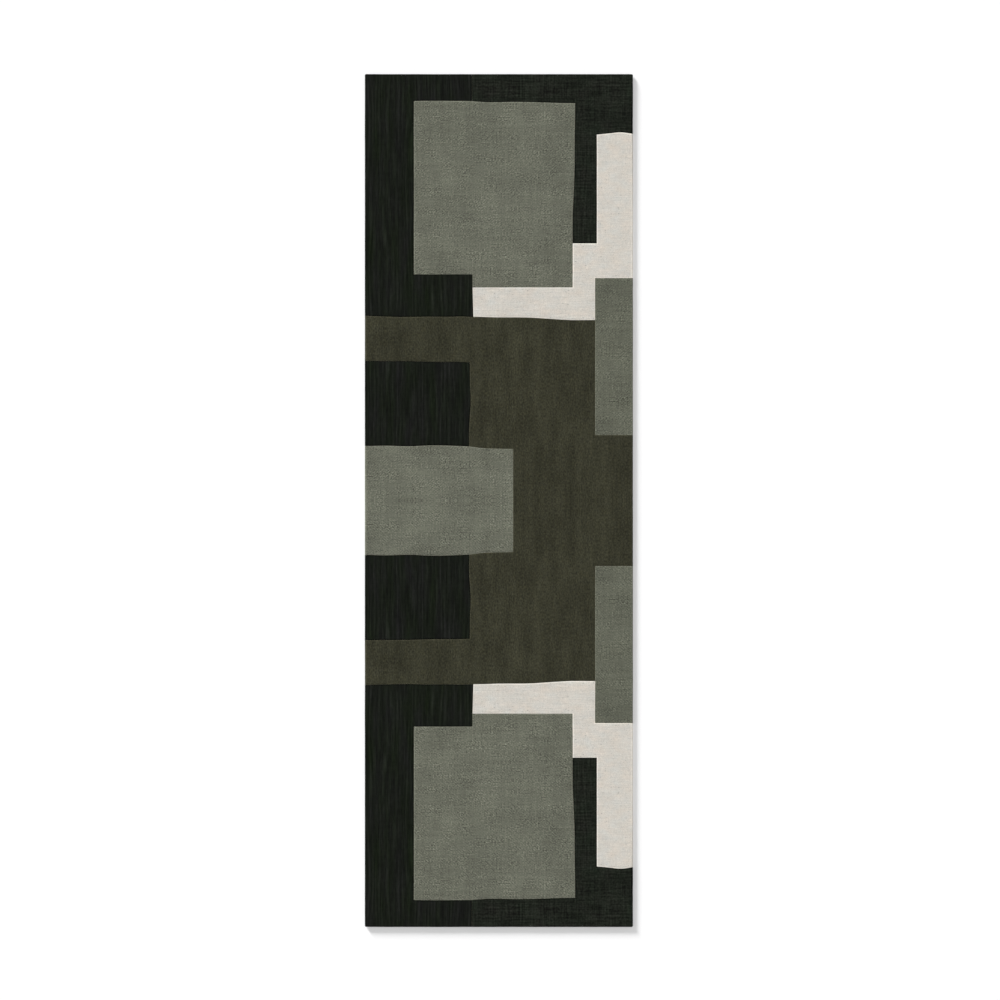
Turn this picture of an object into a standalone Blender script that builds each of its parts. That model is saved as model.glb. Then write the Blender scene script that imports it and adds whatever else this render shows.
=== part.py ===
"""Runner rug: inlaid flat-woven face panels wrapped over a carrier cloth, on felt and a non-slip base.

Metres, +Z up. The rug lies flat on z = 0 with its length along Y, the head end at +Y, and its width
along X. The origin is on the floor under the middle of the rug.

The face is designed flat, as a cutter would draw it: a point is (across, down), the distance from the
left edge and the distance from the head end. The foot half of the design is the head half mirrored.
"""

import bmesh
import bpy
from mathutils import Vector

# Overall size
WIDTH = 0.766
LENGTH = 2.438
CORNER_RADIUS = 0.004

# Layers, from the floor up, with the bond line between two layers as a clear gap
BOND_GAP = 0.0003
BASE_THICKNESS = 0.0013
FELT_THICKNESS = 0.0024
CARRIER_THICKNESS = 0.0008
CLOTH_THICKNESS = 0.0024
BASE_INSET = 0.008
HEM_WIDTH = 0.025
TOP_FOLD_RADIUS = 0.0028
LOW_FOLD_RADIUS = 0.0024
FOLD_SEGMENTS = 5
CORNER_SEGMENTS = 5

FELT_LOW = BASE_THICKNESS + BOND_GAP
HEM_LOW = FELT_LOW
HEM_HIGH = HEM_LOW + CLOTH_THICKNESS
CARRIER_LOW = HEM_HIGH + BOND_GAP
CARRIER_HIGH = CARRIER_LOW + CARRIER_THICKNESS
FACE_LOW = CARRIER_HIGH + BOND_GAP
FACE_HIGH = FACE_LOW + CLOTH_THICKNESS

# How far a panel's cutter passes the rug's edge and its faces, and the gap along a seam
OVERCUT = 0.010
SEAM_GAP = 0.0003
SWAY_STEPS = 2

# Lines of the design, measured across from the left edge
LEFT = -OVERCUT
RIGHT = WIDTH + OVERCUT
SQUARE_LEFT = 0.140
BLOCK_RIGHT = 0.300
STRIE_RIGHT = 0.306
NOTCH = 0.308
MIDDLE_RIGHT = 0.424
SQUARE_RIGHT = 0.594
STRIP_LEFT = 0.658
LEG_RIGHT = 0.663

# Lines of the design, measured down from the head end
HEAD = -OVERCUT
SQUARE_TOP = 0.077
CREAM_TOP = 0.173
LEG_END = 0.484
NOTCH_TOP = 0.573
CREAM_SHOULDER = 0.583
SQUARE_END = 0.610
STRIE_END = 0.691
CREAM_END = 0.703
BLOCK_TOP = 0.820
STRIP_END = 1.032
MIDDLE_TOP = 1.063

# Corners that a hand-cut edge has shifted off those lines
SQUARE_TOP_RIGHT = (SQUARE_RIGHT + 0.007, SQUARE_TOP + 0.006)
CREAM_TOP_RIGHT = (RIGHT, CREAM_TOP - 0.002)
STRIE_END_RIGHT = (NOTCH + 0.002, STRIE_END + 0.003)
BLOCK_TOP_RIGHT = (BLOCK_RIGHT, BLOCK_TOP + 0.004)
BLOCK_END_RIGHT = (BLOCK_RIGHT - 0.0015, MIDDLE_TOP + 0.0015)
MIDDLE_TOP_RIGHT = (MIDDLE_RIGHT, MIDDLE_TOP + 0.009)

MILLIMETRE = 0.001
SAME_HEIGHT = 1e-6

# name: colour, roughness
CLOTH_COLOURS = {
    "black_strie": ((0.0113, 0.0129, 0.0100), 0.92),
    "black_linen": ((0.0150, 0.0174, 0.0131), 0.92),
    "sage_linen": ((0.1445, 0.1505, 0.1168), 0.90),
    "slate_twill": ((0.1247, 0.1303, 0.0995), 0.90),
    "cream_linen": ((0.634, 0.602, 0.541), 0.88),
    "olive_felt": ((0.0405, 0.0402, 0.0260), 0.94),
    "carrier": ((0.42, 0.38, 0.31), 0.90),
    "felt": ((0.24, 0.24, 0.23), 0.97),
    "base": ((0.055, 0.055, 0.052), 0.78),
}


def clear_scene():
    for item in list(bpy.data.objects):
        bpy.data.objects.remove(item, do_unlink=True)


def cloth(name):
    """The named material, made the first time that it is asked for."""
    if name in bpy.data.materials:
        return bpy.data.materials[name]
    colour, roughness = CLOTH_COLOURS[name]
    material = bpy.data.materials.new(name)
    material.use_nodes = True
    shader = material.node_tree.nodes["Principled BSDF"]
    shader.inputs["Base Color"].default_value = (*colour, 1.0)
    shader.inputs["Roughness"].default_value = roughness
    shader.inputs["Metallic"].default_value = 0.0
    return material


def add_object(name, mesh, material=None):
    thing = bpy.data.objects.new(name, mesh)
    bpy.context.collection.objects.link(thing)
    if material:
        thing.data.materials.append(cloth(material))
    return thing


def hide_cutter(thing):
    thing.hide_render = True
    thing.display_type = "WIRE"


# Seams and outlines

def curve_value(before, start, end, after, t):
    """Catmull-Rom value between start and end."""
    bend = -before + 3.0 * start - 3.0 * end + after
    pull = 2.0 * before - 5.0 * start + 4.0 * end - after
    slope = end - before
    return 0.5 * (2.0 * start + slope * t + pull * t * t + bend * t ** 3)


def smooth_sway(sway):
    """The sway list with smooth values filled in between its entries."""
    padded = [sway[0], *sway, sway[-1]]
    values = []
    for index in range(len(sway) - 1):
        for step in range(SWAY_STEPS):
            values.append(curve_value(*padded[index:index + 4], step / SWAY_STEPS))
    values.append(sway[-1])
    return values


def seam(start, end, sway=(0.0, 0.0)):
    """Points of a hand-cut edge from start to end. sway is how far it wanders, in millimetres:
    towards the foot where the edge runs across the rug, to the right where it runs down it."""
    values = smooth_sway(sway) if any(sway) else [0.0, 0.0]
    runs_across = abs(end[0] - start[0]) > abs(end[1] - start[1])
    points = []
    for index, value in enumerate(values):
        share = index / (len(values) - 1)
        across = start[0] + (end[0] - start[0]) * share
        down = start[1] + (end[1] - start[1]) * share
        if runs_across:
            down += value * MILLIMETRE
        else:
            across += value * MILLIMETRE
        points.append((across, down))
    return points


def back(points):
    return list(reversed(points))


def mirrored(points):
    """The same points in the foot half, in the opposite order."""
    return [(across, LENGTH - down) for across, down in reversed(points)]


def outline(*runs):
    """Joins runs of points into one closed outline, dropping the points that two runs share."""
    points = []
    for run in runs:
        for point in run:
            if not points or (Vector(point) - Vector(points[-1])).length > SEAM_GAP:
                points.append(point)
    if (Vector(points[0]) - Vector(points[-1])).length <= SEAM_GAP:
        points.pop()
    return points


SQUARE_TOP_LEFT_SEAM = seam(
    (SQUARE_LEFT, SQUARE_TOP), (STRIE_RIGHT, SQUARE_TOP),
    (0, -0.7, -0.6, -0.1, 0))
SQUARE_TOP_RIGHT_SEAM = seam(
    (STRIE_RIGHT, SQUARE_TOP), SQUARE_TOP_RIGHT,
    (0, 2.3, 1.9, 0.4, -0.3, -0.2, 0.3, 0.6, 0))
LEG_LEFT_SEAM = seam(
    SQUARE_TOP_RIGHT, (SQUARE_RIGHT, LEG_END),
    (0, 0.7, 0.7, 1.1, 1.8, 1.4, 0, -1.4, -0.9, 0))
CREAM_TOP_SEAM = seam(
    (LEG_RIGHT, CREAM_TOP), CREAM_TOP_RIGHT,
    (0, -0.8, -2.0, -3.2, -4.6, -5.0, -3.4, -0.8, 0))
STRIE_END_SEAM = seam(
    (LEFT, STRIE_END), STRIE_END_RIGHT,
    (0, 0.7, 1.5, 2.2, 2.3, 1.3, 0.4, 0.4, 0.1, -0.9, 0))
CREAM_END_SEAM = seam(
    STRIE_END_RIGHT, (STRIP_LEFT, CREAM_END),
    (0, -0.4, -0.2, -0.9, -1.9, -1.7, -0.3, 1.1, 2.0, 1.2, 0))
BLOCK_TOP_SEAM = seam(
    (LEFT, BLOCK_TOP), BLOCK_TOP_RIGHT,
    (0, -0.8, -0.7, -0.8, -1.2, -0.9, -0.2, 0, -0.3, -0.8, 0))
BLOCK_RIGHT_SEAM = seam(
    BLOCK_TOP_RIGHT, BLOCK_END_RIGHT,
    (0, 0.4, 1.0, 2.8, 3.1, 1.6, -0.4, -0.9, 0))
MIDDLE_BLOCK_SEAM = seam(
    (LEFT, MIDDLE_TOP), BLOCK_END_RIGHT,
    (0, 0, -0.7, -1.0, -0.3, 0.5, -0.3, -1.9, -2.6, -2.7, -2.1, -1.1, 0))
MIDDLE_OLIVE_SEAM = seam(
    BLOCK_END_RIGHT, MIDDLE_TOP_RIGHT,
    (0, 1.2, 2.2, 2.4, 1.8, 0.9, 0.4, 0))

STRIE_OUTLINE = outline(
    [(LEFT, HEAD), (STRIE_RIGHT, HEAD)],
    back(SQUARE_TOP_LEFT_SEAM),
    [(SQUARE_LEFT, NOTCH_TOP), (NOTCH, NOTCH_TOP), (NOTCH, SQUARE_END)],
    back(STRIE_END_SEAM),
)
LINEN_OUTLINE = outline(
    [(STRIE_RIGHT, HEAD), (RIGHT, HEAD)],
    back(CREAM_TOP_SEAM),
    [(LEG_RIGHT, LEG_END)],
    back(LEG_LEFT_SEAM),
    back(SQUARE_TOP_RIGHT_SEAM),
)
SQUARE_OUTLINE = outline(
    SQUARE_TOP_LEFT_SEAM,
    SQUARE_TOP_RIGHT_SEAM,
    LEG_LEFT_SEAM,
    [(SQUARE_RIGHT, SQUARE_END), (NOTCH, SQUARE_END), (NOTCH, NOTCH_TOP), (SQUARE_LEFT, NOTCH_TOP)],
)
CREAM_OUTLINE = outline(
    CREAM_TOP_SEAM,
    [(RIGHT, CREAM_SHOULDER), (STRIP_LEFT, CREAM_SHOULDER)],
    back(CREAM_END_SEAM),
    [(NOTCH, SQUARE_END), (SQUARE_RIGHT, SQUARE_END), (SQUARE_RIGHT, LEG_END), (LEG_RIGHT, LEG_END)],
)
STRIP_OUTLINE = [
    (STRIP_LEFT, CREAM_SHOULDER),
    (RIGHT, CREAM_SHOULDER),
    (RIGHT, STRIP_END),
    (STRIP_LEFT, STRIP_END),
]
BLOCK_OUTLINE = outline(BLOCK_TOP_SEAM, BLOCK_RIGHT_SEAM, back(MIDDLE_BLOCK_SEAM))
MIDDLE_HALF = outline(MIDDLE_BLOCK_SEAM, MIDDLE_OLIVE_SEAM)
MIDDLE_OUTLINE = outline(MIDDLE_HALF, mirrored(MIDDLE_HALF))
OLIVE_RIGHT = outline(
    STRIE_END_SEAM,
    CREAM_END_SEAM,
    [(STRIP_LEFT, STRIP_END), (RIGHT, STRIP_END)],
)
OLIVE_LEFT = outline(BLOCK_TOP_SEAM, BLOCK_RIGHT_SEAM, MIDDLE_OLIVE_SEAM)
OLIVE_OUTLINE = outline(OLIVE_RIGHT, mirrored(OLIVE_RIGHT), back(mirrored(OLIVE_LEFT)), back(OLIVE_LEFT))

# name: outline, cloth. Each of these has a mirrored twin at the foot end.
HEAD_PANELS = {
    "face_black_strie": (STRIE_OUTLINE, "black_strie"),
    "face_black_linen": (LINEN_OUTLINE, "black_linen"),
    "face_sage_square": (SQUARE_OUTLINE, "sage_linen"),
    "face_cream_step": (CREAM_OUTLINE, "cream_linen"),
    "face_slate_strip": (STRIP_OUTLINE, "slate_twill"),
    "face_black_block": (BLOCK_OUTLINE, "black_strie"),
}


def signed_area(points):
    total = 0.0
    for index, (x, y) in enumerate(points):
        next_x, next_y = points[(index + 1) % len(points)]
        total += x * next_y - next_x * y
    return total / 2.0


def inset(points, distance):
    """The outline moved inwards by distance, with mitred corners. points run anticlockwise."""
    moved = []
    for index, point in enumerate(points):
        here = Vector(point)
        incoming = (here - Vector(points[index - 1])).normalized()
        outgoing = (Vector(points[(index + 1) % len(points)]) - here).normalized()
        normal_in = Vector((-incoming.y, incoming.x))
        normal_out = Vector((-outgoing.y, outgoing.x))
        shift = (normal_in + normal_out) * distance / (1.0 + normal_in.dot(normal_out))
        moved.append(here + shift)
    return moved


def on_the_floor(points):
    """(across, down) points as anticlockwise (x, y) points round the rug's centre."""
    placed = [(across - WIDTH / 2.0, LENGTH / 2.0 - down) for across, down in points]
    return placed if signed_area(placed) > 0.0 else back(placed)


# Solids

def prism(name, points, low, high):
    shape = bmesh.new()
    ring = [shape.verts.new((point[0], point[1], low)) for point in points]
    floor = shape.faces.new(ring)
    extruded = bmesh.ops.extrude_face_region(shape, geom=[floor])
    lifted = [item for item in extruded["geom"] if isinstance(item, bmesh.types.BMVert)]
    bmesh.ops.translate(shape, verts=lifted, vec=(0.0, 0.0, high - low))
    bmesh.ops.recalc_face_normals(shape, faces=shape.faces)
    mesh = bpy.data.meshes.new(name)
    shape.to_mesh(mesh)
    shape.free()
    return mesh


def rim_edges(shape, height):
    """The edges of the flat outline at this height."""
    return [edge for edge in shape.edges if all(abs(vert.co.z - height) < SAME_HEIGHT for vert in edge.verts)]


def round_edges(shape, edges, radius, segments):
    bmesh.ops.bevel(shape, geom=edges, offset=radius, segments=segments, profile=0.5, affect="EDGES")


def plate(name, edge_inset, low, high, corner_radius, top_fold=0.0, low_fold=0.0):
    """A flat plate edge_inset inside the rug's edge, with round corners and, if asked, folded rims."""
    shape = bmesh.new()
    bmesh.ops.create_cube(shape, size=1.0)
    size = (WIDTH - 2.0 * edge_inset, LENGTH - 2.0 * edge_inset, high - low)
    bmesh.ops.scale(shape, verts=shape.verts, vec=size)
    bmesh.ops.translate(shape, verts=shape.verts, vec=(0.0, 0.0, (low + high) / 2.0))
    upright = [edge for edge in shape.edges if abs(edge.verts[0].co.z - edge.verts[1].co.z) > SAME_HEIGHT]
    round_edges(shape, upright, corner_radius, CORNER_SEGMENTS)
    if top_fold:
        round_edges(shape, rim_edges(shape, high), top_fold, FOLD_SEGMENTS)
    if low_fold:
        round_edges(shape, rim_edges(shape, low), low_fold, FOLD_SEGMENTS)
    bmesh.ops.recalc_face_normals(shape, faces=shape.faces)
    mesh = bpy.data.meshes.new(name)
    shape.to_mesh(mesh)
    shape.free()
    return mesh


def boolean(thing, cutter, operation):
    modifier = thing.modifiers.new(cutter.name, "BOOLEAN")
    modifier.object = cutter
    modifier.operation = operation
    modifier.solver = "EXACT"


def wrapped_mesh():
    """The outer skin of the whole face cloth, from the top down to the hem's underside."""
    return plate("wrapped_face", 0.0, HEM_LOW, FACE_HIGH, CORNER_RADIUS, TOP_FOLD_RADIUS, LOW_FOLD_RADIUS)


def make_slot_cutter():
    """The flat slot between the face and the hem, where the carrier cloth lies."""
    radius = CORNER_RADIUS - CLOTH_THICKNESS
    cutter = add_object("cut_carrier_slot", plate("cut_slot", CLOTH_THICKNESS, HEM_HIGH, FACE_LOW, radius))
    hide_cutter(cutter)
    return cutter


def make_well_cutter():
    """The opening inside the turned hem, where the felt lies. It ends inside the slot."""
    slot_middle = (HEM_HIGH + FACE_LOW) / 2.0
    mesh = plate("cut_well", HEM_WIDTH, HEM_LOW - OVERCUT, slot_middle, CORNER_RADIUS)
    cutter = add_object("cut_hem_opening", mesh)
    hide_cutter(cutter)
    return cutter


def make_panel(name, points, material, slot_cutter, well_cutter):
    """One inlaid panel: its share of the wrapped face cloth, with its side wall and hem."""
    shape = inset(on_the_floor(points), SEAM_GAP / 2.0)
    cutter = add_object("cut_" + name, prism("cut_" + name, shape, HEM_LOW - OVERCUT, FACE_HIGH + OVERCUT))
    hide_cutter(cutter)
    panel = add_object(name, wrapped_mesh(), material)
    boolean(panel, cutter, "INTERSECT")
    boolean(panel, slot_cutter, "DIFFERENCE")
    boolean(panel, well_cutter, "DIFFERENCE")


def make_face():
    slot_cutter = make_slot_cutter()
    well_cutter = make_well_cutter()
    for name, (points, material) in HEAD_PANELS.items():
        make_panel(name + "_head", points, material, slot_cutter, well_cutter)
        make_panel(name + "_foot", mirrored(points), material, slot_cutter, well_cutter)
    make_panel("face_olive_field", OLIVE_OUTLINE, "olive_felt", slot_cutter, well_cutter)
    make_panel("face_sage_block_middle", MIDDLE_OUTLINE, "sage_linen", slot_cutter, well_cutter)


def make_layers():
    """The carrier cloth in the slot, the felt inside the hem and the base that covers both."""
    carrier_inset = CLOTH_THICKNESS + BOND_GAP
    felt_inset = HEM_WIDTH + BOND_GAP
    felt_high = FELT_LOW + FELT_THICKNESS
    carrier = plate("carrier_cloth", carrier_inset, CARRIER_LOW, CARRIER_HIGH, CORNER_RADIUS)
    felt = plate("felt_cushion", felt_inset, FELT_LOW, felt_high, CORNER_RADIUS)
    base = plate("nonslip_base", BASE_INSET, 0.0, BASE_THICKNESS, 2.0 * CORNER_RADIUS)
    add_object("carrier_cloth", carrier, "carrier")
    add_object("felt_cushion", felt, "felt")
    add_object("nonslip_base", base, "base")


def main():
    clear_scene()
    make_face()
    make_layers()


main()
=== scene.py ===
"""Looks of the runner rug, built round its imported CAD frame.

Every layer of the rug is a fine copy of its CAD solid. A coarse cloth simulation says how the rug lies on
the floor, and all the layers follow it. The panels' seam edges are rounded, their slubs and ribs are raised
in the mesh, and each cloth has its own interlaced weave in its material.
"""

import math

import bmesh
import bpy
import numpy as np
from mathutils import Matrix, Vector, noise


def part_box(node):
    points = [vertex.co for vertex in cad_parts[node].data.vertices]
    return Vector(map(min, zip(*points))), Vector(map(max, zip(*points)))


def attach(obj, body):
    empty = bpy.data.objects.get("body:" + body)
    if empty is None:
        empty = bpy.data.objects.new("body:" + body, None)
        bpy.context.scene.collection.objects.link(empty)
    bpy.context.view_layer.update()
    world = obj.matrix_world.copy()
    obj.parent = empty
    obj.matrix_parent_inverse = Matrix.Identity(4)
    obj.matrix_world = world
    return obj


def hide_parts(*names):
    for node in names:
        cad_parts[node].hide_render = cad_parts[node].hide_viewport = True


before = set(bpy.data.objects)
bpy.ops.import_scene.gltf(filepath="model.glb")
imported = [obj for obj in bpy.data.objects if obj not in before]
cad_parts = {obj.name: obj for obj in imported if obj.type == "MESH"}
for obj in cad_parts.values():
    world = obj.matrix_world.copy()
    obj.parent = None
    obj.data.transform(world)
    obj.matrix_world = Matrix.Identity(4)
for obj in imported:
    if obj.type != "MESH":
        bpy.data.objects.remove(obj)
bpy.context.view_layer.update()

MILLIMETRE = 0.001

# The frame's own sizes
LOW_CORNER, HIGH_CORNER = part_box("face_olive_field")
FACE_HIGH = HIGH_CORNER.z
HEM_LOW = LOW_CORNER.z
FACE_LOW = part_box("face_sage_square_head")[0].z
HALF_WIDTH = HIGH_CORNER.x
HALF_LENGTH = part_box("face_black_strie_head")[1].y
CLOTH_THICKNESS = FACE_HIGH - FACE_LOW
BASE_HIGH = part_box("nonslip_base")[1].z
HEM_WIDTH = HALF_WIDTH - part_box("felt_cushion")[1].x
BLACK_SEAM = (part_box("face_black_linen_head")[0].x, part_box("face_black_strie_head")[1].x)

# Fine meshes
COARSE_PITCH = 0.032
SEAM_RADIUS = 0.0006
RIM_WIDTH = 0.0029
SEAM_DIP = 0.00025
SNAP = 0.0002
FOLD_REACH = 0.0032
LEAST_EDGE = 0.00002
SAME_POINT = 0.000001
SAME_PLANE = math.radians(0.5)
SHARP_ANGLE = math.radians(50.0)
SEAM_CLEARANCE = 0.004

# How the rug lies
SHEET_CELLS = (20, 60)
SHEET_DROP = 0.003
SHEET_WAVE = 0.004
SHEET_CURL = 0.010
CURL_START = 0.86
SETTLE_FRAMES = 30
MOST_LIFT = 0.0022
EDGE_WANDER = 0.0003

# The base's dots
DOT_PITCH = 0.042
DOT_RADIUS = 0.004
DOT_FOOT_RADIUS = 0.0022
DOT_HEIGHT = 0.45 * BASE_HIGH
DOT_SIDES = 8
BASE_LIFT = 0.42 * BASE_HIGH


# How it lies on the floor

def make_sheet():
    """A coarse sheet as large as the rug, waved and curled as a rug is when it is unrolled."""
    shape = bmesh.new()
    bmesh.ops.create_grid(shape, x_segments=SHEET_CELLS[0], y_segments=SHEET_CELLS[1], size=1.0)
    for vert in shape.verts:
        x, y = vert.co.x, vert.co.y
        wave = noise.noise(Vector((x * 1.1 + 3.0, y * 4.5, 0.0)))
        curl = max(abs(y) - CURL_START, 0.0) / (1.0 - CURL_START)
        vert.co.z = SHEET_DROP + SHEET_WAVE * (0.5 + wave) + SHEET_CURL * curl * curl
        vert.co.x = x * HALF_WIDTH
        vert.co.y = y * HALF_LENGTH
    mesh = bpy.data.meshes.new("lay_sheet")
    shape.to_mesh(mesh)
    shape.free()
    sheet = bpy.data.objects.new("lay_sheet", mesh)
    bpy.context.collection.objects.link(sheet)
    return sheet


def make_sim_floor():
    shape = bmesh.new()
    bmesh.ops.create_grid(shape, x_segments=1, y_segments=1, size=3.0)
    mesh = bpy.data.meshes.new("lay_floor")
    shape.to_mesh(mesh)
    shape.free()
    floor = bpy.data.objects.new("lay_floor", mesh)
    bpy.context.collection.objects.link(floor)
    floor.modifiers.new("collision", "COLLISION")
    floor.collision.thickness_outer = 0.001
    floor.collision.cloth_friction = 30.0
    return floor


def settled_heights():
    """The heights of the sheet's corners once it has settled, as rows along Y of columns along X."""
    sheet = make_sheet()
    floor = make_sim_floor()
    cloth = sheet.modifiers.new("settle", "CLOTH")
    cloth.settings.quality = 8
    cloth.settings.mass = 0.5
    cloth.settings.tension_stiffness = 80.0
    cloth.settings.compression_stiffness = 80.0
    cloth.settings.bending_stiffness = 30.0
    cloth.settings.air_damping = 4.0
    cloth.collision_settings.distance_min = 0.001
    cloth.point_cache.frame_start = 1
    cloth.point_cache.frame_end = SETTLE_FRAMES
    for number in range(1, SETTLE_FRAMES + 1):
        bpy.context.scene.frame_set(number)
    settled = sheet.evaluated_get(bpy.context.evaluated_depsgraph_get())
    heights = np.array([vert.co.z for vert in settled.data.vertices])
    bpy.context.scene.frame_set(1)
    bpy.data.objects.remove(sheet, do_unlink=True)
    bpy.data.objects.remove(floor, do_unlink=True)
    heights = heights.reshape(SHEET_CELLS[1] + 1, SHEET_CELLS[0] + 1)
    return np.minimum(heights - heights.min(), MOST_LIFT)


def spline_weights(t):
    """The four weights of a uniform cubic B-spline at t, from 0 to 1."""
    return (
        (1.0 - t) ** 3 / 6.0,
        (3.0 * t ** 3 - 6.0 * t ** 2 + 4.0) / 6.0,
        (-3.0 * t ** 3 + 3.0 * t ** 2 + 3.0 * t + 1.0) / 6.0,
        t ** 3 / 6.0,
    )


def lift_at(heights, x, y):
    """The rug's lift off the floor at each (x, y), read smoothly from the settled sheet."""
    padded = np.pad(heights, 1, mode="edge")
    column = np.clip((x / HALF_WIDTH + 1.0) / 2.0, 0.0, 0.9999) * SHEET_CELLS[0]
    row = np.clip((y / HALF_LENGTH + 1.0) / 2.0, 0.0, 0.9999) * SHEET_CELLS[1]
    first_column = column.astype(int)
    first_row = row.astype(int)
    across = spline_weights(column - first_column)
    along = spline_weights(row - first_row)
    last_row = padded.shape[0] - 1
    last_column = padded.shape[1] - 1
    lift = np.zeros(len(x))
    for i in range(4):
        for j in range(4):
            rows = np.minimum(first_row + i, last_row)
            columns = np.minimum(first_column + j, last_column)
            lift += along[i] * across[j] * padded[rows, columns]
    return lift


# Fine copies of the CAD solids

def whole_solid(node):
    """A copy of a CAD solid in which each flat face is one face again."""
    shape = bmesh.new()
    shape.from_mesh(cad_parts[node].data)
    bmesh.ops.remove_doubles(shape, verts=shape.verts, dist=SAME_POINT)
    bmesh.ops.dissolve_limit(shape, angle_limit=SAME_PLANE, verts=shape.verts, edges=shape.edges)
    return shape


def edge_distance(x, y):
    """How far a point is inside the rug's straight edges."""
    return min(HALF_WIDTH - abs(x), HALF_LENGTH - abs(y))


def is_seam_wall(face):
    """Whether this is an upright face where two panels butt."""
    centre = face.calc_center_median()
    inside = edge_distance(centre.x, centre.y) > SEAM_CLEARANCE
    return abs(face.normal.z) < 0.01 and centre.z > HEM_LOW and inside


def is_black_seam(face):
    """Whether this wall is where the two black cloths butt, a join that hardly shows."""
    x = face.calc_center_median().x
    return BLACK_SEAM[0] - MILLIMETRE < x < BLACK_SEAM[1] + MILLIMETRE and abs(face.normal.x) > 0.9


def round_seam_edges(shape):
    """Rounds the top edges of the seam walls, where a cut edge of cloth blooms over, and cuts a strip along
    every edge of the top. The rim layer is 1 on the rounded edges and falls to 0 across their strip. The face
    dips a little along it, and the cloths paint along it: a painted highlight on the light cloths, painted
    shade on the black ones."""
    painted_seam_light_and_dip = shape.verts.layers.float.new("painted_seam_light_and_dip")
    edges = []
    for edge in shape.edges:
        if len(edge.link_faces) != 2 or min(vert.co.z for vert in edge.verts) < FACE_LOW:
            continue
        walls = [is_seam_wall(face) and not is_black_seam(face) for face in edge.link_faces]
        upper = [face.normal.z > 0.05 for face in edge.link_faces]
        if any(walls) and any(upper):
            edges.append(edge)
    bevel = bmesh.ops.bevel(shape, geom=edges, offset=SEAM_RADIUS, segments=2, profile=0.5,
                            affect="EDGES", clamp_overlap=True)
    for vert in bevel["verts"]:
        vert[painted_seam_light_and_dip] = 1.0
    for face in shape.faces:
        if is_seam_wall(face):
            for vert in face.verts:
                vert[painted_seam_light_and_dip] = 0.0 if is_black_seam(face) else 1.0
    bmesh.ops.remove_doubles(shape, verts=shape.verts, dist=LEAST_EDGE)
    tops = [face for face in shape.faces if face.normal.z > 0.999 and face.calc_center_median().z > FACE_LOW]
    strip = bmesh.ops.inset_region(shape, faces=tops, thickness=RIM_WIDTH, use_even_offset=True,
                                   use_boundary=True)["faces"]
    for face in tops:
        for vert in face.verts:
            vert[painted_seam_light_and_dip] = 0.0
    untwist(shape, tops, strip)


def is_crossed(face, inner):
    """Whether a face of the strip is twisted, its inner edge running back against its outer edge."""
    verts = list(face.verts)
    if len(verts) != 4 or sum(vert in inner for vert in verts) != 2:
        return False
    while verts[0] in inner or verts[3] not in inner:
        verts = verts[1:] + verts[:1]
    return (verts[1].co - verts[0].co).dot(verts[2].co - verts[3].co) < 0.0


def untwist(shape, tops, strip):
    """Where an edge is shorter than the strip along it is wide, the strip's inner edge turns back on itself.
    Draws each such stretch to its innermost point."""
    inner = {vert for face in tops for vert in face.verts}
    stretches = {}
    for face in strip:
        if is_crossed(face, inner):
            stretch = [vert for vert in face.verts if vert in inner]
            for vert in list(stretch):
                stretch += [other for other in stretches.get(vert, []) if other not in stretch]
            for vert in stretch:
                stretches[vert] = stretch
    for verts in {id(stretch): stretch for stretch in stretches.values()}.values():
        place = verts[0].co.copy()
        place.x = math.copysign(min(abs(vert.co.x) for vert in verts), place.x)
        place.y = math.copysign(min(abs(vert.co.y) for vert in verts), place.y)
        bmesh.ops.pointmerge(shape, verts=verts, merge_co=place)


def put_in_order(items, key):
    """Sorts a mesh's points or faces by a key that is a list of numbers."""
    for number, item in enumerate(sorted(items, key=key)):
        item.index = number
    items.sort()


def order_mesh(shape):
    """Gives the points and faces an order that depends on their places alone, because cutting the mesh leaves
    them in another order each run."""
    put_in_order(shape.verts, lambda vert: list(vert.co))
    put_in_order(shape.faces, lambda face: [vert.index for vert in face.verts])


def places_between(low, high, pitch):
    """Multiples of pitch inside an interval."""
    first = math.ceil((low + SNAP) / pitch)
    last = math.floor((high - SNAP) / pitch)
    return [number * pitch for number in range(first, last + 1)]


def slice_faces(shape, faces, axis, places):
    """Cuts the faces at each place along an axis, in order, and returns all the pieces."""
    normal = Vector((1.0, 0.0, 0.0)) if axis == 0 else Vector((0.0, 1.0, 0.0))
    ahead = [face for face in faces]
    behind = []
    for place in places:
        edges = dict.fromkeys(edge for face in ahead for edge in face.edges)
        verts = dict.fromkeys(vert for face in ahead for vert in face.verts)
        cut = bmesh.ops.bisect_plane(shape, geom=[*ahead, *edges, *verts], dist=SNAP / 2.0,
                                     plane_co=normal * place, plane_no=normal)
        pieces = [item for item in cut["geom"] if isinstance(item, bmesh.types.BMFace)]
        ahead = []
        for piece in pieces:
            reach = max(vert.co[axis] for vert in piece.verts)
            (ahead if reach > place + SNAP else behind).append(piece)
    return behind + ahead


def is_visible(face):
    """Whether a face of a panel shows from outside: the face itself, its folds and its side."""
    centre = face.calc_center_median()
    if edge_distance(centre.x, centre.y) < CLOTH_THICKNESS * 0.97:
        return True
    return face.normal.z > 0.05 and centre.z > FACE_LOW + MILLIMETRE


def slice_solid(shape, box, pitch):
    """Cuts the whole solid coarsely, and what shows of it at pitch = (x, y)."""
    low, high = box
    for axis in (0, 1):
        slice_faces(shape, list(shape.faces), axis, places_between(low[axis], high[axis], COARSE_PITCH))
    if pitch:
        faces = [face for face in shape.faces if is_visible(face)]
        for axis in (0, 1):
            faces = slice_faces(shape, faces, axis, places_between(low[axis], high[axis], pitch[axis]))


def wander(x, y):
    """The small sideways drift of a soft edge."""
    drift_x = [noise.noise(Vector((4.0, value * 9.0, 0.0))) for value in y]
    drift_y = [noise.noise(Vector((value * 9.0, 7.0, 0.0))) for value in x]
    return np.array(drift_x) * EDGE_WANDER, np.array(drift_y) * EDGE_WANDER


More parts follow.
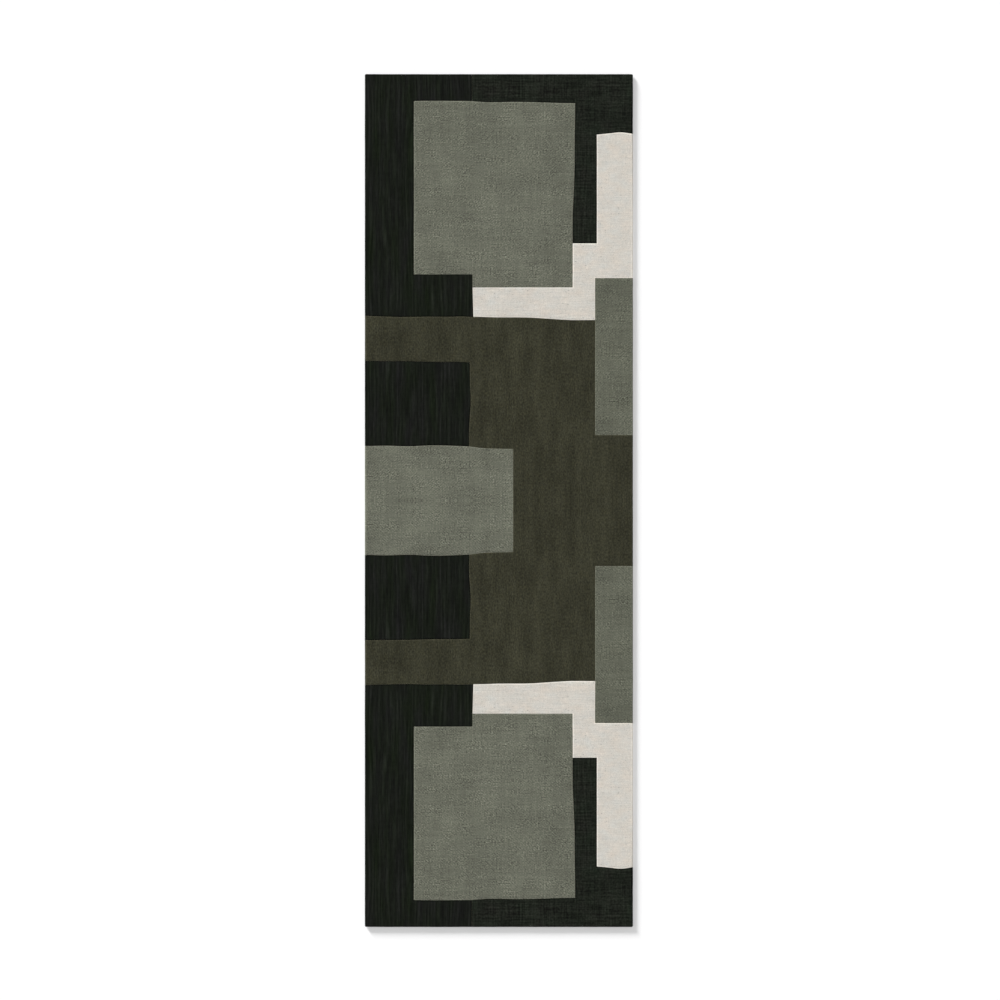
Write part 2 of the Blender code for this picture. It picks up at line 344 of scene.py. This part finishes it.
def field(x, y, size, seed):
    """Smooth noise, about -0.5 to 0.5, with features of size = (x, y) in metres."""
    columns = x / size[0]
    rows = y / size[1]
    return np.array([noise.noise(Vector((a, b, seed))) for a, b in zip(columns, rows)])


def strie_relief(x, y):
    """Long lengthwise slubs."""
    return 0.00022 * field(x, y, (0.0050, 0.075), 1.5) + 0.00012 * field(x, y, (0.011, 0.16), 4.5)


def linen_relief(x, y):
    """Slubs both ways."""
    return 0.00016 * field(x, y, (0.0065, 0.060), 7.5) + 0.00016 * field(x, y, (0.060, 0.0065), 9.5)


def coarse_relief(x, y):
    """Faint diagonal ribs in a slightly uneven cloth."""
    rib = np.sin((x - y) * 2.0 * math.pi / 0.0258)
    return 0.00005 * rib + 0.00014 * field(x, y, (0.016, 0.012), 11.5)


def plain_relief(x, y):
    return 0.00012 * field(x, y, (0.014, 0.009), 13.5) + 0.00006 * field(x, y, (0.05, 0.008), 15.5)


def felt_relief(x, y):
    """The low lumps of a felted face."""
    return 0.00024 * field(x, y, (0.010, 0.014), 17.5) + 0.00018 * field(x, y, (0.032, 0.05), 19.5)


def deform(mesh, heights, relief):
    """Raises the relief on the face, lets the edges wander and lays the piece on the floor."""
    count = len(mesh.vertices)
    points = np.empty(count * 3)
    mesh.vertices.foreach_get("co", points)
    points = points.reshape(count, 3)
    x, y, z = points[:, 0].copy(), points[:, 1].copy(), points[:, 2].copy()
    if relief:
        nearness = np.clip((z - FACE_LOW) / CLOTH_THICKNESS, 0.0, 1.0)
        raised = np.nonzero(nearness > 0.01)[0]
        points[raised, 2] += relief(x[raised], y[raised]) * nearness[raised]
        painted_seam_light_and_dip = np.empty(count)
        mesh.attributes["painted_seam_light_and_dip"].data.foreach_get("value", painted_seam_light_and_dip)
        points[:, 2] -= SEAM_DIP * painted_seam_light_and_dip * nearness
    drift_x, drift_y = wander(x, y)
    points[:, 0] += drift_x
    points[:, 1] += drift_y
    points[:, 2] += lift_at(heights, x, y)
    mesh.vertices.foreach_set("co", points.ravel())
    mesh.update()


def mark_cloth_place(mesh):
    """Stores where each point lies on the flat cloth, so that the weave runs on down the folded sides.
    The foot half's cloth mirrors the head half's, down to its grain."""
    count = len(mesh.vertices)
    points = np.empty(count * 3)
    mesh.vertices.foreach_get("co", points)
    points = points.reshape(count, 3)
    depth = points[:, 2].max() - points[:, 2]
    for axis, half in ((0, HALF_WIDTH), (1, HALF_LENGTH)):
        folded = np.abs(points[:, axis]) > half - FOLD_REACH
        points[folded, axis] += np.sign(points[folded, axis]) * depth[folded]
    points[:, 1] = np.abs(points[:, 1])
    points[:, 2] = 0.0
    place = mesh.attributes.new("cloth_place", "FLOAT_VECTOR", "POINT")
    place.data.foreach_set("vector", points.ravel())


def fine_piece(name, node, heights, pitch=None, relief=None):
    """A fine copy of a CAD solid, laid on the floor."""
    shape = whole_solid(node)
    if pitch:
        round_seam_edges(shape)
    slice_solid(shape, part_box(node), pitch)
    many_sided = [face for face in shape.faces if len(face.verts) > 4]
    bmesh.ops.triangulate(shape, faces=many_sided, quad_method="BEAUTY", ngon_method="BEAUTY")
    bmesh.ops.dissolve_degenerate(shape, dist=LEAST_EDGE, edges=shape.edges)
    bmesh.ops.recalc_face_normals(shape, faces=shape.faces)
    order_mesh(shape)
    mesh = bpy.data.meshes.new(name)
    shape.to_mesh(mesh)
    shape.free()
    mark_cloth_place(mesh)
    deform(mesh, heights, relief)
    mesh.shade_smooth()
    mesh.set_sharp_from_angle(angle=SHARP_ANGLE)
    piece = bpy.data.objects.new(name, mesh)
    bpy.context.collection.objects.link(piece)
    return piece


# Materials

class ClothShader:
    """A cloth material in the making. Each call adds shader nodes and returns their output."""

    def __init__(self, name, colour, roughness=0.9, specular=0.2, woven=True):
        self.material = bpy.data.materials.new(name)
        self.material.use_nodes = True
        self.nodes = self.material.node_tree.nodes
        self.links = self.material.node_tree.links
        self.shader = self.nodes["Principled BSDF"]
        self.shader.inputs["Base Color"].default_value = (*colour, 1.0)
        self.shader.inputs["Roughness"].default_value = roughness
        self.shader.inputs["Specular IOR Level"].default_value = specular
        self.colour = colour
        if woven:
            place = self.nodes.new("ShaderNodeAttribute")
            place.attribute_name = "cloth_place"
            self.place = place.outputs["Vector"]
        else:
            self.place = self.nodes.new("ShaderNodeTexCoord").outputs["Object"]
        split = self.nodes.new("ShaderNodeSeparateXYZ")
        self.feed(split.inputs[0], self.place)
        self.axes = split.outputs

    def feed(self, socket, value):
        if isinstance(value, bpy.types.NodeSocket):
            self.links.new(value, socket)
        else:
            socket.default_value = value

    def math(self, operation, first, second=0.0, third=0.0):
        node = self.nodes.new("ShaderNodeMath")
        node.operation = operation
        for socket, value in zip(node.inputs, (first, second, third)):
            self.feed(socket, value)
        return node.outputs[0]

    def vector(self, x, y, z=0.0):
        node = self.nodes.new("ShaderNodeCombineXYZ")
        for socket, value in zip(node.inputs, (x, y, z)):
            self.feed(socket, value)
        return node.outputs[0]

    def noise(self, size, seed, detail=2.0, roughness=0.5):
        """Noise about -0.5 to 0.5, with features of size = (x, y) in metres."""
        stretch = self.nodes.new("ShaderNodeVectorMath")
        stretch.operation = "MULTIPLY_ADD"
        self.feed(stretch.inputs[0], self.place)
        stretch.inputs[1].default_value = (1.0 / size[0], 1.0 / size[1], 40.0)
        stretch.inputs[2].default_value = (seed, 2.0 * seed, 3.0 * seed)
        node = self.nodes.new("ShaderNodeTexNoise")
        self.feed(node.inputs["Vector"], stretch.outputs[0])
        node.inputs["Scale"].default_value = 1.0
        node.inputs["Detail"].default_value = detail
        node.inputs["Roughness"].default_value = roughness
        return self.math("SUBTRACT", node.outputs["Fac"], 0.5)

    def random(self, vector):
        """A random value about -0.5 to 0.5 for each whole-number vector."""
        node = self.nodes.new("ShaderNodeTexWhiteNoise")
        self.feed(node.inputs["Vector"], vector)
        return self.math("SUBTRACT", node.outputs["Value"], 0.5)

    def choose(self, which, off, on):
        """off where which is 0, on where it is 1."""
        node = self.nodes.new("ShaderNodeMix")
        node.data_type = "FLOAT"
        self.feed(node.inputs[0], which)
        self.feed(node.inputs[2], off)
        self.feed(node.inputs[3], on)
        return node.outputs[0]

    def total(self, *terms):
        """The sum of (weight, value) terms."""
        result = None
        for weight, value in terms:
            result = self.math("MULTIPLY_ADD", value, weight, result if result is not None else 0.0)
        return result

    def painted_seam_light_and_dip(self):
        """1 at a seam, falling to 0 across the strip along it. The cloths use it to paint a highlight or a
        shade along their seams.
        """
        node = self.nodes.new("ShaderNodeAttribute")
        node.attribute_name = "painted_seam_light_and_dip"
        return self.math("POWER", node.outputs["Fac"], 0.6)

    def yarn(self, axis, pitch, seed, drift):
        """One set of parallel yarns across an axis: the count of yarns up to a point, the number of the yarn
        it is on, and how high the yarn's round back is there. drift is (how far the yarns wander, over what
        distance)."""
        bend = self.noise((drift[1], drift[1]), seed, detail=1.0)
        along = self.math("MULTIPLY_ADD", bend, drift[0], self.axes[axis])
        count = self.math("DIVIDE", along, pitch)
        number = self.math("FLOOR", count)
        back = self.math("SINE", self.math("MULTIPLY", self.math("FRACT", count), math.pi))
        return count, number, back

    def shade(self, number, along, length):
        """A yarn's own random shade, about -0.5 to 0.5, which changes once in each length along it."""
        stretch = self.math("MULTIPLY_ADD", number, 0.37, self.math("DIVIDE", along, length))
        return self.random(self.vector(number, self.math("FLOOR", stretch)))

    def weave(self, pitch, repeat, seed, drift=(0.0022, 0.09), length=0.03):
        """Warp and weft interlaced. pitch is (from warp to warp, from weft to weft). repeat is 2 for a plain
        weave and 4 for a two-over-two twill.
        Returns what is on top (1 for warp), the height, the shade of the yarn on top, and a random
        value for each crossing."""
        warp_count, warp, warp_back = self.yarn("X", pitch[0], seed, drift)
        weft_count, weft, weft_back = self.yarn("Y", pitch[1], seed + 5.0, drift)
        run = repeat / 2.0
        step = self.math("SUBTRACT", warp, weft)
        phase = self.math("FLOORED_MODULO", step, float(repeat))
        warp_on_top = self.math("LESS_THAN", phase, run - 0.5)
        ahead = self.math("ADD", self.math("SUBTRACT", weft_count, warp), run - 1.0)
        beside = self.math("SUBTRACT", self.math("SUBTRACT", warp_count, weft), run)
        along = self.math("FLOORED_MODULO", self.choose(warp_on_top, beside, ahead), float(repeat))
        arch = self.math("SINE", self.math("MULTIPLY", along, math.pi / run))
        back = self.choose(warp_on_top, weft_back, warp_back)
        height = self.math("MULTIPLY", back, self.math("MULTIPLY_ADD", arch, 0.5, 0.5))
        warp_shade = self.shade(warp, self.axes["Y"], length)
        weft_shade = self.shade(self.math("ADD", weft, 4000.0), self.axes["X"], length)
        crossing = self.random(self.vector(warp, weft))
        return warp_on_top, height, self.choose(warp_on_top, weft_shade, warp_shade), crossing

    def fibre(self, warp_on_top, size):
        """Fine fibre lying along whichever yarn is on top. size is (across the yarn, along it)."""
        across, along = size
        warp = self.noise((across, along), 91.0)
        weft = self.noise((along, across), 92.0)
        return self.choose(warp_on_top, weft, warp)

    def paint(self, tone, tint=None, lean=(1.0, 1.0, 1.0)):
        """The base colour times (1 + tone / 2) squared. Where tint is high it leans to the base colour times
        lean, and where it is low the other way."""
        colour = self.vector(*self.colour)
        if tint is not None:
            mix = self.nodes.new("ShaderNodeMix")
            mix.data_type = "RGBA"
            self.feed(mix.inputs[0], self.math("ADD", tint, 0.5))
            leaning = [part * share for part, share in zip(self.colour, lean)]
            away = [part * (2.0 - share) for part, share in zip(self.colour, lean)]
            mix.inputs[6].default_value = (*away, 1.0)
            mix.inputs[7].default_value = (*leaning, 1.0)
            colour = mix.outputs[2]
        scale = self.nodes.new("ShaderNodeVectorMath")
        scale.operation = "SCALE"
        self.feed(scale.inputs[0], colour)
        half = self.math("MAXIMUM", self.math("MULTIPLY_ADD", tone, 0.5, 1.0), 0.3)
        self.feed(scale.inputs["Scale"], self.math("MULTIPLY", half, half))
        self.links.new(scale.outputs[0], self.shader.inputs["Base Color"])

    def emboss(self, height, depth):
        bump = self.nodes.new("ShaderNodeBump")
        bump.inputs["Strength"].default_value = 1.0
        bump.inputs["Distance"].default_value = depth
        self.feed(bump.inputs["Height"], height)
        self.links.new(bump.outputs[0], self.shader.inputs["Normal"])

    def roughen(self, value, spread, around):
        rough = self.math("MULTIPLY_ADD", value, spread, around)
        self.links.new(rough, self.shader.inputs["Roughness"])


def strie_cloth():
    """Black warp-faced cloth: thin lengthwise streaks of slub over a fine plain weave."""
    cloth = ClothShader("black_strie_cloth", (0.0083, 0.0101, 0.0072), roughness=0.92, specular=0.04)
    sway = cloth.noise((0.045, 0.420), 1.0)
    turns = cloth.math("MULTIPLY_ADD", sway, 4.0, cloth.math("DIVIDE", cloth.axes["X"], 0.0132))
    wave = cloth.math("SINE", cloth.math("MULTIPLY", turns, 2.0 * math.pi))
    crest = cloth.math("POWER", cloth.math("MULTIPLY_ADD", wave, 0.5, 0.5), 1.35)
    strength = cloth.math("MAXIMUM", cloth.math("ADD", cloth.noise((0.015, 0.170), 2.0), 0.18), 0.0)
    streak = cloth.math("MULTIPLY", crest, strength)
    fine = cloth.noise((0.0032, 0.060), 3.0, detail=1.0)
    short = cloth.noise((0.0036, 0.014), 7.0, detail=0.0)
    cloud = cloth.noise((0.060, 0.110), 4.0)
    top, height, thread, _ = cloth.weave((0.0015, 0.0015), 2, 5.0)
    fibre = cloth.fibre(top, (0.0003, 0.0025))
    tone = cloth.total((2.1, streak), (1.4, fine), (0.5, short), (0.5, cloud), (0.20, thread), (0.6, fibre),
                       # The seam term darkens the black cloth along its seams: painted shade, the shadow line
                       # of the gap between panels.
                       (-0.6, cloth.painted_seam_light_and_dip()), (1.0, -0.14))
    cloth.paint(tone, cloth.noise((0.030, 0.160), 6.0), (1.35, 1.0, 1.65))
    cloth.emboss(cloth.total((1.2, streak), (0.5, height), (0.6, fine), (0.3, fibre)), 0.0006)
    cloth.roughen(fine, 0.12, 0.90)
    return cloth.material


def black_linen_cloth():
    """Black linen: slubbed yarns both ways, in a crosshatch."""
    cloth = ClothShader("black_linen_cloth", (0.0122, 0.0146, 0.0106), roughness=0.90, specular=0.04)
    warp = cloth.noise((0.0046, 0.060), 11.0, detail=0.0)
    weft = cloth.noise((0.060, 0.0050), 12.0, detail=0.0)
    speck = cloth.noise((0.0054, 0.0054), 13.0, detail=0.0)
    cloud = cloth.noise((0.070, 0.070), 14.0)
    top, height, thread, _ = cloth.weave((0.0020, 0.0020), 2, 15.0)
    fibre = cloth.fibre(top, (0.0004, 0.0030))
    tone = cloth.total((1.25, warp), (1.25, weft), (1.25, speck), (0.7, cloud), (0.25, thread), (0.6, fibre),
                       # The seam term darkens the black cloth along its seams: painted shade, the shadow line
                       # of the gap between panels.
                       (-0.6, cloth.painted_seam_light_and_dip()))
    cloth.paint(tone, cloth.noise((0.050, 0.050), 16.0), (1.2, 1.0, 1.15))
    cloth.emboss(cloth.total((0.6, warp), (0.6, weft), (0.6, height), (0.3, fibre)), 0.0006)
    cloth.roughen(warp, 0.12, 0.90)
    return cloth.material


def coarse_linen_cloth(name, colour, lean, seed):
    """Coarse linen in a two-over-two twill of slubby yarns, each a slightly different shade."""
    cloth = ClothShader(name, colour, roughness=0.88, specular=0.20)
    top, height, thread, crossing = cloth.weave((0.00203, 0.00187), 4, seed, (0.0028, 0.045), 0.026)
    weft = cloth.noise((0.055, 0.0028), seed + 1.0, detail=0.0)
    warp = cloth.noise((0.0028, 0.050), seed + 2.0, detail=0.0)
    weft_band = cloth.noise((0.190, 0.013), seed + 3.0, detail=1.0)
    warp_band = cloth.noise((0.013, 0.190), seed + 4.0, detail=1.0)
    cloud = cloth.noise((0.110, 0.110), seed + 5.0, detail=1.0)
    patch = cloth.noise((0.042, 0.030), seed + 7.0, detail=1.0)
    speck = cloth.noise((0.0043, 0.0039), seed + 8.0, detail=0.0)
    strength = cloth.math("MAXIMUM", cloth.math("MULTIPLY_ADD", patch, 2.8, 1.0), 0.4)
    over = cloth.math("SUBTRACT", top, 0.5)
    # The back term makes the tone rise with the height of the yarn on top: painted shade in the hollows
    # between yarns.
    back = cloth.math("SUBTRACT", height, 0.51)
    grain = cloth.total((0.14, crossing), (0.16, over), (0.12, back), (1.30, speck))
    grain = cloth.math("MULTIPLY", grain, strength)
    fibre = cloth.fibre(top, (0.00035, 0.0026))
    tone = cloth.total((1.0, grain), (0.20, thread), (0.24, weft), (0.18, warp), (0.30, weft_band),
                       # The seam term lightens the cloth along its seams: a painted highlight, the cut edge
                       # catching light.
                       (0.24, warp_band), (0.58, cloud), (0.20, fibre), (0.26, cloth.painted_seam_light_and_dip()))
    cloth.paint(tone, cloth.noise((0.090, 0.050), seed + 6.0), lean)
    cloth.emboss(cloth.total((0.9, height), (0.2, thread), (0.3, weft), (0.2, fibre)), 0.0005)
    cloth.roughen(thread, 0.10, 0.88)
    return cloth.material


def cream_cloth():
    """Cream linen in a plain weave, faintly mottled."""
    cloth = ClothShader("cream_linen_cloth", (0.583, 0.552, 0.498), roughness=0.86, specular=0.20)
    top, height, thread, crossing = cloth.weave((0.0017, 0.0017), 2, 31.0, length=0.02)
    weft = cloth.noise((0.040, 0.0034), 32.0, detail=1.0)
    warp = cloth.noise((0.0030, 0.018), 33.0)
    cloud = cloth.noise((0.060, 0.060), 34.0)
    fleck_field = cloth.noise((0.0072, 0.0036), 35.0)
    fleck = cloth.math("MINIMUM", cloth.math("ADD", fleck_field, 0.14), 0.0)
    # The brightest specks of the fleck noise are lightened: painted glints, fibre catching light.
    painted_glint = cloth.math("MAXIMUM", cloth.math("SUBTRACT", fleck_field, 0.18), 0.0)
    fibre = cloth.fibre(top, (0.0003, 0.0022))
    # The height term lightens the yarn backs and darkens the hollows between yarns: painted shade.
    tone = cloth.total((0.07, thread), (0.20, crossing), (0.09, height), (0.28, weft), (0.18, warp),
                       # The seam term lightens the cloth along its seams: a painted highlight, the cut edge
                       # catching light.
                       (0.16, cloud), (5.0, fleck), (1.8, painted_glint), (0.15, fibre), (0.30, cloth.painted_seam_light_and_dip()),
                       (1.0, -0.01))
    cloth.paint(tone, cloth.noise((0.035, 0.025), 36.0), (1.055, 0.985, 0.93))
    cloth.emboss(cloth.total((0.7, height), (0.4, weft), (0.3, warp), (0.15, fibre)), 0.0004)
    cloth.roughen(thread, 0.08, 0.86)
    return cloth.material


def olive_cloth():
    """Olive cloth with a felted face, mottled and dashed with darker fibre."""
    cloth = ClothShader("olive_felted_cloth", (0.0345, 0.0341, 0.0215), roughness=0.95, specular=0.05)
    fibre = cloth.noise((0.0029, 0.0066), 41.0, detail=1.0)
    clumping = cloth.noise((0.045, 0.060), 47.0, detail=0.0)
    clump = cloth.math("MAXIMUM", cloth.math("MULTIPLY_ADD", clumping, 4.0, 1.0), 0.1)
    dash_field = cloth.math("ADD", cloth.noise((0.0032, 0.0095), 42.0), 0.16)
    dash = cloth.math("MULTIPLY", cloth.math("MINIMUM", dash_field, 0.0), clump)
    band = cloth.noise((0.032, 0.130), 43.0, detail=0.0)
    streak = cloth.noise((0.0046, 0.044), 44.0, detail=0.0)
    cloud = cloth.noise((0.100, 0.120), 48.0, detail=1.0)
    _, height, thread, _ = cloth.weave((0.0019, 0.0019), 2, 45.0, length=0.006)
    tone = cloth.total((1.75, fibre), (6.3, dash), (0.6, band), (0.5, streak), (0.5, cloud), (0.4, thread),
                       # The seam term lightens the cloth along its seams: a painted highlight, the cut edge
                       # catching light.
                       (0.25, cloth.painted_seam_light_and_dip()), (1.0, 0.05))
    cloth.paint(tone, cloth.noise((0.010, 0.020), 46.0), (1.02, 1.0, 0.90))
    cloth.emboss(cloth.total((1.0, fibre), (1.2, dash), (0.15, height)), 0.0007)
    cloth.roughen(fibre, 0.08, 0.95)
    return cloth.material


def carrier_material():
    """Natural jute scrim in an open plain weave."""
    cloth = ClothShader("carrier_scrim", (0.42, 0.36, 0.27), roughness=0.9, specular=0.2)
    _, height, thread, _ = cloth.weave((0.0026, 0.0026), 2, 51.0)
    # The height term lightens the yarn backs and darkens the hollows between yarns: painted shade.
    tone = cloth.total((0.4, thread), (0.4, height), (0.5, cloth.noise((0.012, 0.012), 52.0)), (1.0, -0.2))
    cloth.paint(tone)
    cloth.emboss(height, 0.0006)
    return cloth.material


def felt_material():
    """Grey needled felt with coloured fibre ends in it."""
    cloth = ClothShader("needled_felt", (0.24, 0.24, 0.23), roughness=0.97, specular=0.1)
    fibre = cloth.noise((0.0016, 0.0016), 61.0, detail=4.0, roughness=0.7)
    fleck = cloth.math("MAXIMUM", cloth.math("SUBTRACT", cloth.noise((0.004, 0.004), 62.0), 0.16), 0.0)
    cloth.paint(cloth.total((1.4, fibre), (3.0, fleck)), cloth.noise((0.01, 0.01), 63.0), (1.3, 1.0, 0.9))
    cloth.emboss(fibre, 0.0008)
    return cloth.material


def base_material(name, colour):
    """Moulded rubber with a fine matt grain."""
    cloth = ClothShader(name, colour, roughness=0.7, specular=0.4, woven=False)
    grain = cloth.noise((0.0012, 0.0012), 71.0, detail=3.0)
    cloth.paint(cloth.total((0.5, grain), (0.4, cloth.noise((0.05, 0.05), 72.0))))
    cloth.emboss(grain, 0.0002)
    cloth.roughen(grain, 0.2, 0.72)
    return cloth.material


# cloth: material maker, mesh pitch (x, y), relief
STRIE = (strie_cloth(), (0.0022, 0.008), strie_relief)
BLACK_LINEN = (black_linen_cloth(), (0.0032, 0.0032), linen_relief)
SAGE = (coarse_linen_cloth("sage_linen_cloth", (0.1305, 0.1354, 0.1036), (1.0, 1.0, 1.01), 21.0),
        (0.004, 0.004), coarse_relief)
SLATE = (coarse_linen_cloth("slate_linen_cloth", (0.1122, 0.1170, 0.0876), (0.995, 1.0, 1.02), 81.0),
         (0.004, 0.004), coarse_relief)
CREAM = (cream_cloth(), (0.0035, 0.0035), plain_relief)
OLIVE = (olive_cloth(), (0.004, 0.004), felt_relief)

# CAD node without "face_": its cloth and its material slot
PANELS = {
    "black_strie_head": (STRIE, "black_strie"),
    "black_strie_foot": (STRIE, "black_strie"),
    "black_linen_head": (BLACK_LINEN, "black_linen"),
    "black_linen_foot": (BLACK_LINEN, "black_linen"),
    "sage_square_head": (SAGE, "sage_linen"),
    "sage_square_foot": (SAGE, "sage_linen"),
    "cream_step_head": (CREAM, "cream_linen"),
    "cream_step_foot": (CREAM, "cream_linen"),
    "slate_strip_head": (SLATE, "slate_twill"),
    "slate_strip_foot": (SLATE, "slate_twill"),
    "olive_field": (OLIVE, "olive_felt"),
    "black_block_head": (STRIE, "black_strie"),
    "black_block_foot": (STRIE, "black_strie"),
    "sage_block_middle": (SAGE, "sage_linen"),
}


def flat_size(node):
    """The cut's width and length: the panel's own, with the side and the hem turned under at each edge
    of the rug that it reaches."""
    low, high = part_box(node)
    turned = HEM_WIDTH + FACE_HIGH - HEM_LOW
    width = high.x - low.x
    length = high.y - low.y
    for reach, half in ((-low.x, HALF_WIDTH), (high.x, HALF_WIDTH)):
        if reach > half - MILLIMETRE:
            width += turned
    for reach, half in ((-low.y, HALF_LENGTH), (high.y, HALF_LENGTH)):
        if reach > half - MILLIMETRE:
            length += turned
    return width, length


def settle(piece, node, material):
    """Gives the piece its cloth, puts it on the root body and hides the CAD solid that it stands for."""
    piece.data.materials.append(material)
    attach(piece, "root")
    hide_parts(node)
    flat = flat_size(node)


def make_panels(heights):
    for name, ((material, pitch, relief), slot) in PANELS.items():
        node = "face_" + name
        piece = fine_piece(name + "_cloth", node, heights, pitch, relief)
        settle(piece, node, material)


def add_dot(verts, faces, x, y):
    """One low dot: a small flat foot on the floor, widening up into the base sheet."""
    first = len(verts)
    for radius, z in ((DOT_FOOT_RADIUS, 0.0), (DOT_RADIUS, DOT_HEIGHT)):
        for number in range(DOT_SIDES):
            angle = 2.0 * math.pi * number / DOT_SIDES
            verts.append((x + radius * math.cos(angle), y + radius * math.sin(angle), z))
    lower = [first + number for number in range(DOT_SIDES)]
    upper = [index + DOT_SIDES for index in lower]
    faces.append(lower[::-1])
    faces.append(upper)
    for number in range(DOT_SIDES):
        after = (number + 1) % DOT_SIDES
        faces.append((lower[number], lower[after], upper[after], upper[number]))


def make_dots():
    """The low moulded dots under the base, in staggered rows."""
    low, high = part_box("nonslip_base")
    columns = int((high.x - low.x) / DOT_PITCH)
    rows = int((high.y - low.y) / (DOT_PITCH / 2.0)) - 1
    margin = ((high.x - low.x) - (columns - 1) * DOT_PITCH) / 2.0
    end_margin = ((high.y - low.y) - (rows - 1) * DOT_PITCH / 2.0) / 2.0
    verts = []
    faces = []
    for row in range(rows):
        y = low.y + end_margin + row * DOT_PITCH / 2.0
        shift = 0.5 * (row % 2)
        for column in range(columns - row % 2):
            add_dot(verts, faces, low.x + margin + (column + shift) * DOT_PITCH, y)
    mesh = bpy.data.meshes.new("base_dots")
    mesh.from_pydata(verts, [], faces)
    dots = bpy.data.objects.new("base_dots", mesh)
    bpy.context.collection.objects.link(dots)
    return dots


def thin_base(base):
    """Lifts the base sheet's underside off the floor, so that it stands on its dots."""
    for vert in base.data.vertices:
        if vert.co.z < BASE_HIGH / 2.0:
            vert.co.z = BASE_LIFT


def make_layers(heights):
    carrier = fine_piece("carrier_scrim", "carrier_cloth", heights)
    settle(carrier, "carrier_cloth", carrier_material())
    felt = fine_piece("felt_layer", "felt_cushion", heights)
    settle(felt, "felt_cushion", felt_material())
    flat = np.zeros_like(heights)
    base = fine_piece("base_sheet", "nonslip_base", flat)
    thin_base(base)
    deform(base.data, heights, None)
    dots = make_dots()
    deform(dots.data, heights, None)
    dots.data.materials.append(base_material("base_dot_rubber", (0.045, 0.045, 0.043)))
    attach(dots, "root")
    settle(base, "nonslip_base", base_material("base_sheet_rubber", (0.075, 0.074, 0.070)))


# Stage, lights and camera

FLOOR_ALBEDO = 0.95
FLOOR_SIZE = 60.0
KEY_PLACE = (-1.92, 2.70, 0.78)
KEY_ANGLE = 14.0
KEY_STRENGTH = 6.0
OVERHEAD_PLACE = (0.0, 0.0, 9.0)
OVERHEAD_ANGLE = 30.0
OVERHEAD_STRENGTH = 1.12
HORIZON_TOP = 0.15
HORIZON_GREY = 1.0
SKY_START = 0.40
SKY_GREY = 0.24
CAMERA_PLACE = (0.0032, 0.0016, 6.755)
CAMERA_LENS = 85.0


def make_floor():
    shape = bmesh.new()
    bmesh.ops.create_grid(shape, x_segments=1, y_segments=1, size=FLOOR_SIZE / 2.0)
    mesh = bpy.data.meshes.new("floor")
    shape.to_mesh(mesh)
    shape.free()
    floor = bpy.data.objects.new("floor", mesh)
    bpy.context.collection.objects.link(floor)
    material = bpy.data.materials.new("floor_white")
    material.use_nodes = True
    shader = material.node_tree.nodes["Principled BSDF"]
    shader.inputs["Base Color"].default_value = (FLOOR_ALBEDO, FLOOR_ALBEDO, FLOOR_ALBEDO, 1.0)
    shader.inputs["Roughness"].default_value = 0.9
    shader.inputs["Specular IOR Level"].default_value = 0.0
    mesh.materials.append(material)


def aim(thing, target):
    direction = Vector(target) - thing.location
    thing.rotation_euler = direction.to_track_quat("-Z", "Y").to_euler()


def make_key():
    """A low, soft key from the rug's head-left, which throws the short shadow to its right and foot."""
    light = bpy.data.lights.new("key", "SUN")
    light.energy = KEY_STRENGTH
    light.angle = math.radians(KEY_ANGLE)
    key = bpy.data.objects.new("key", light)
    bpy.context.collection.objects.link(key)
    key.location = KEY_PLACE
    aim(key, (0.0, 0.0, 0.0))


def make_overhead():
    """A wide, even light from straight above."""
    light = bpy.data.lights.new("overhead", "SUN")
    light.energy = OVERHEAD_STRENGTH
    light.angle = math.radians(OVERHEAD_ANGLE)
    lamp = bpy.data.objects.new("overhead", light)
    bpy.context.collection.objects.link(lamp)
    lamp.location = OVERHEAD_PLACE


def make_world():
    """Pale surroundings, brightest at the horizon."""
    world = bpy.data.worlds.new("studio")
    world.use_nodes = True
    nodes = world.node_tree.nodes
    links = world.node_tree.links
    background = nodes["Background"]
    direction = nodes.new("ShaderNodeTexCoord")
    split = nodes.new("ShaderNodeSeparateXYZ")
    ramp = nodes.new("ShaderNodeValToRGB")
    low, high = ramp.color_ramp.elements
    low.position = HORIZON_TOP
    low.color = (HORIZON_GREY, HORIZON_GREY, HORIZON_GREY, 1.0)
    high.position = SKY_START
    high.color = (SKY_GREY, SKY_GREY, SKY_GREY, 1.0)
    links.new(direction.outputs["Generated"], split.inputs[0])
    links.new(split.outputs["Z"], ramp.inputs[0])
    links.new(ramp.outputs["Color"], background.inputs["Color"])
    background.inputs["Strength"].default_value = 1.0
    bpy.context.scene.world = world


def make_camera():
    """Straight down on the rug, its head end at the top of the picture."""
    data = bpy.data.cameras.new("camera")
    data.lens = CAMERA_LENS
    camera = bpy.data.objects.new("camera", data)
    bpy.context.collection.objects.link(camera)
    camera.location = CAMERA_PLACE
    bpy.context.scene.camera = camera


def main():
    bpy.context.scene.view_settings.view_transform = "Standard"
    make_floor()
    make_key()
    make_overhead()
    make_world()
    make_camera()
    heights = settled_heights()
    make_panels(heights)
    make_layers(heights)


main()
